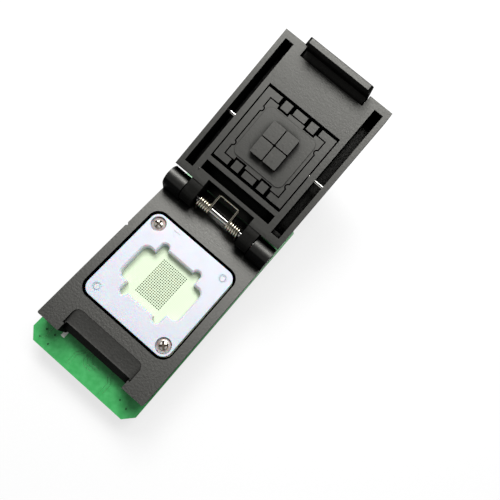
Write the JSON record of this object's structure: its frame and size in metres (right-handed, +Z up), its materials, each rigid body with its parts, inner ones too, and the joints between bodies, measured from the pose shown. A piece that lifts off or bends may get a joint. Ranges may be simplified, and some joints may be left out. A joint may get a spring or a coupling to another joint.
{
  "type": "memory chip test socket adapter",
  "caption": "Clamshell socket for a ball-grid memory chip on a board with two rows of plug-in header pins, hinged lid with a sprung pusher and latch, shown open.",
  "frame": {"origin": "middle of the header pin field, in the plane of the programmer's socket, 0.15 mm below the under side of the header strips", "axes": "+Z up out of the board, +Y from the latch end to the hinge end of the board, +X to the right seen from the latch end"},
  "size_m": [0.0316, 0.0905, 0.0382],
  "materials": {
    "board": "green solder mask over fibreglass laminate, semi-gloss",
    "header_plastic": "black moulded nylon",
    "pin_plating": "turned brass with thin gold plating",
    "base_plastic": "black glass-filled plastic moulded against a spark-eroded tool",
    "screw_steel": "nickel-plated steel, pan head with a cross recess",
    "retainer_laminate": "drilled glass-epoxy laminate",
    "contact_plating": "gold-plated spring contacts",
    "contact_laminate": "pale green glass-epoxy laminate, drilled",
    "frame_plastic": "white machined plastic, smooth satin",
    "dowel_plastic": "white plastic, smooth",
    "pin_steel": "ground bright steel pin",
    "spring_steel": "drawn stainless spring wire",
    "lid_plastic": "black glass-filled plastic moulded against a spark-eroded tool",
    "pusher_plastic": "black moulded plastic, fine matt",
    "latch_plastic": "black moulded plastic, fine matt"
  },
  "bodies": {
    "base": {"circuit_board": "board", "header_strip_left": "header_plastic", "header_strip_right": "header_plastic", "header_pins_left": "pin_plating", "header_pins_right": "pin_plating", "socket_base": "base_plastic", "base_screws": "screw_steel", "retainer_plate": "retainer_laminate", "contact_pins": "contact_plating", "contact_plate": "contact_laminate", "guide_frame": "frame_plastic", "frame_screws": "screw_steel", "locating_pins": "dowel_plastic", "hinge_pin": "pin_steel", "hinge_spring": "spring_steel"},
    "lid": {"lid": "lid_plastic", "pivot_pins": "pin_steel", "latch_pin": "pin_steel", "plate_springs": "spring_steel", "latch_springs": "spring_steel"},
    "pusher": {"pusher_frame": "pusher_plastic"},
    "pressure": {"pressure_plate": "pusher_plastic"},
    "latch": {"latch": "latch_plastic"}
  },
  "joints": [
    {"name": "lid_hinge", "type": "hinge", "parent": "base", "child": "lid", "pos_m": [0, 0.01645, 0.0145], "axis": [1, 0, 0], "range_deg": [0, 161.2], "stiffness_Nm_per_rad": 0.003, "springref_deg": -28.65, "deforming": ["hinge_spring"]},
    {"name": "latch_pivot", "type": "hinge", "parent": "lid", "child": "latch", "pos_m": [0, 0.05534, 0.02748], "axis": [-1, 0, 0], "range_deg": [0, 8], "stiffness_Nm_per_rad": 0.015, "springref_deg": -11.46, "deforming": ["latch_springs"]},
    {"name": "pusher_rock", "type": "hinge", "parent": "lid", "child": "pusher", "pos_m": [0, 0.03523, 0.022], "axis": [1, 0, 0], "range_deg": [-1.5, 1.5], "stiffness_Nm_per_rad": 0.05, "deforming": ["plate_springs"]},
    {"name": "plate_float", "type": "slide", "parent": "pusher", "child": "pressure", "axis": [0, 0.3223, -0.9466], "range_m": [0, 0.0005], "stiffness_N_per_m": 2000, "springref_m": -0.0005, "deforming": ["plate_springs"]}
  ]
}
